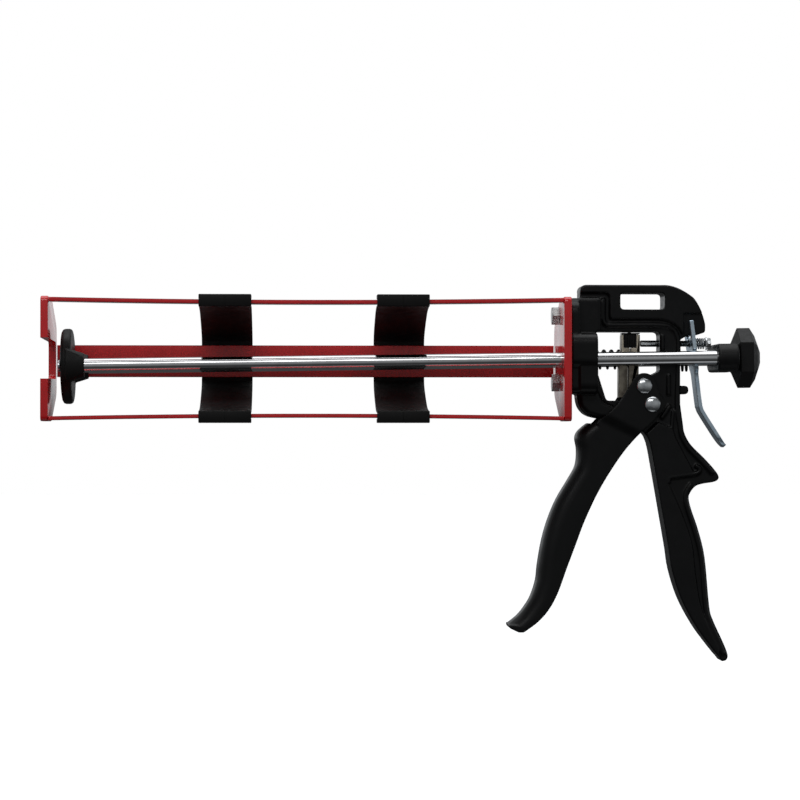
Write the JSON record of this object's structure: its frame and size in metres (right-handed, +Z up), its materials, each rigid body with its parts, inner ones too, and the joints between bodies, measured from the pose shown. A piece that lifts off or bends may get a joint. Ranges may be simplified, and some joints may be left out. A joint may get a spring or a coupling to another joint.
{
  "type": "caulking gun",
  "caption": "Manual two-rod dispenser for coaxial cartridges: open strip carriage, push rods with disc pusher, cast pistol grip, steel trigger and pull knob.",
  "frame": {"origin": "middle of the bounding box", "axes": "+X back along the rods towards the pull knob, +Z up away from the handle, -Y the open side that the cartridge goes in from"},
  "size_m": [0.4194, 0.0679, 0.2207],
  "materials": {
    "red_paint": "gloss",
    "black_paint": "satin",
    "black_casting": "painted satin",
    "black_steel": "satin",
    "black_plastic": "matte",
    "chrome": "polished",
    "zinc": "bright zinc",
    "bronze": "dull"
  },
  "bodies": {
    "frame": {"front_plate": "red_paint", "rear_plate": "red_paint", "top_strip": "red_paint", "bottom_strip": "red_paint", "back_strip": "red_paint", "front_clip": "black_plastic", "rear_clip": "black_plastic", "upper_carriage_bolt": "zinc", "lower_carriage_bolt": "zinc", "handle_body": "black_casting", "pivot_rivet": "zinc", "guide_bolt": "zinc", "release_spring": "zinc", "release_washer": "zinc", "release_nut": "zinc", "return_spring": "black_steel", "lever_spring": "black_steel"},
    "trigger": {"trigger_lever": "black_paint", "drive_rivet": "zinc", "drive_roller": "zinc"},
    "drive": {"front_grip_plate": "bronze", "rear_grip_plate": "bronze", "grip_insert": "black_plastic"},
    "release": {"release_lever": "zinc"},
    "rods": {"left_push_rod": "chrome", "right_push_rod": "chrome", "pusher": "black_plastic", "left_pusher_screw": "zinc", "right_pusher_screw": "zinc", "pull_knob": "black_plastic", "left_knob_screw": "zinc", "right_knob_screw": "zinc"}
  },
  "joints": [
    {"name": "trigger_pull", "type": "hinge", "parent": "frame", "child": "trigger", "pos_m": [0.1448, 0, 0.0403], "axis": [0, -1, 0], "range_deg": [0, 26], "stiffness_Nm_per_rad": 0.8, "springref_deg": -14.32},
    {"name": "drive_slide", "type": "slide", "parent": "frame", "child": "drive", "axis": [-1, 0, 0], "range_m": [0, 0.005], "deforming": ["return_spring"]},
    {"name": "rod_slide", "type": "slide", "parent": "frame", "child": "rods", "axis": [0.9999, 0, 0.0136], "range_m": [0, 0.27]},
    {"name": "release_press", "type": "hinge", "parent": "frame", "child": "release", "pos_m": [0.1684, 0, 0.0862], "axis": [0, 1, 0], "range_deg": [0, 5], "stiffness_Nm_per_rad": 0.25, "springref_deg": -5.73, "deforming": ["release_spring", "lever_spring"]}
  ],
  "couplings": [
    {"joint": "drive_slide", "follows": "trigger_pull", "m_per_rad": 0.0108}
  ]
}
